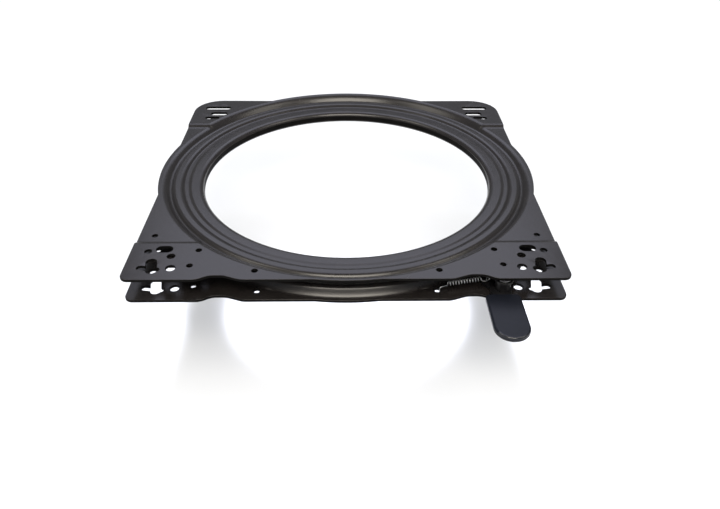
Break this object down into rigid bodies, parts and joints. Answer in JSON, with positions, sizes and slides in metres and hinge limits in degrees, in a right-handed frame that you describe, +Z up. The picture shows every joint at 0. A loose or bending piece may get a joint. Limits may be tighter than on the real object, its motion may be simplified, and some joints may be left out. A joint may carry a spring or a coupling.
{
  "type": "swivel seat base",
  "caption": "Low pressed-steel swivel base for a vehicle seat: two ring-jointed plates that turn on each other, with a sprung release lever at the front corner.",
  "frame": {"origin": "on the swivel axis, midway between the two plates", "axes": "+Z up along the swivel axis, -Y to the front edge with the lever, +X to the right-hand side seen from the front"},
  "size_m": [0.448, 0.5074, 0.028],
  "materials": {
    "plate_coat": "satin charcoal coating with a warm sheen",
    "lever_coat": "black coating",
    "grip_plastic": "blue-black moulded plastic",
    "bright_steel": "bright zinc",
    "slide_plastic": "natural acetal"
  },
  "bodies": {
    "base": {"lower_plate": "plate_coat", "bearing_ring": "slide_plastic", "pivot_pin": "bright_steel", "pin_clip": "bright_steel", "lever_washer": "bright_steel", "stop_pin": "bright_steel", "return_spring": "bright_steel"},
    "turntable": {"upper_plate": "plate_coat", "lock_keeper": "plate_coat"},
    "lever": {"release_lever": "lever_coat", "lever_hub": "lever_coat", "latch_pawl": "lever_coat", "lever_grip": "grip_plastic"}
  },
  "joints": [
    {"name": "swivel", "type": "hinge", "parent": "base", "child": "turntable", "pos_m": [0, 0, 0], "axis": [0, 0, 1], "continuous": true},
    {"name": "release", "type": "hinge", "parent": "base", "child": "lever", "pos_m": [0.1522, -0.21, 0], "axis": [0, 0, 1], "range_deg": [-24, 0], "stiffness_Nm_per_rad": 0.17, "springref_deg": 51.57, "deforming": ["return_spring"]}
  ]
}
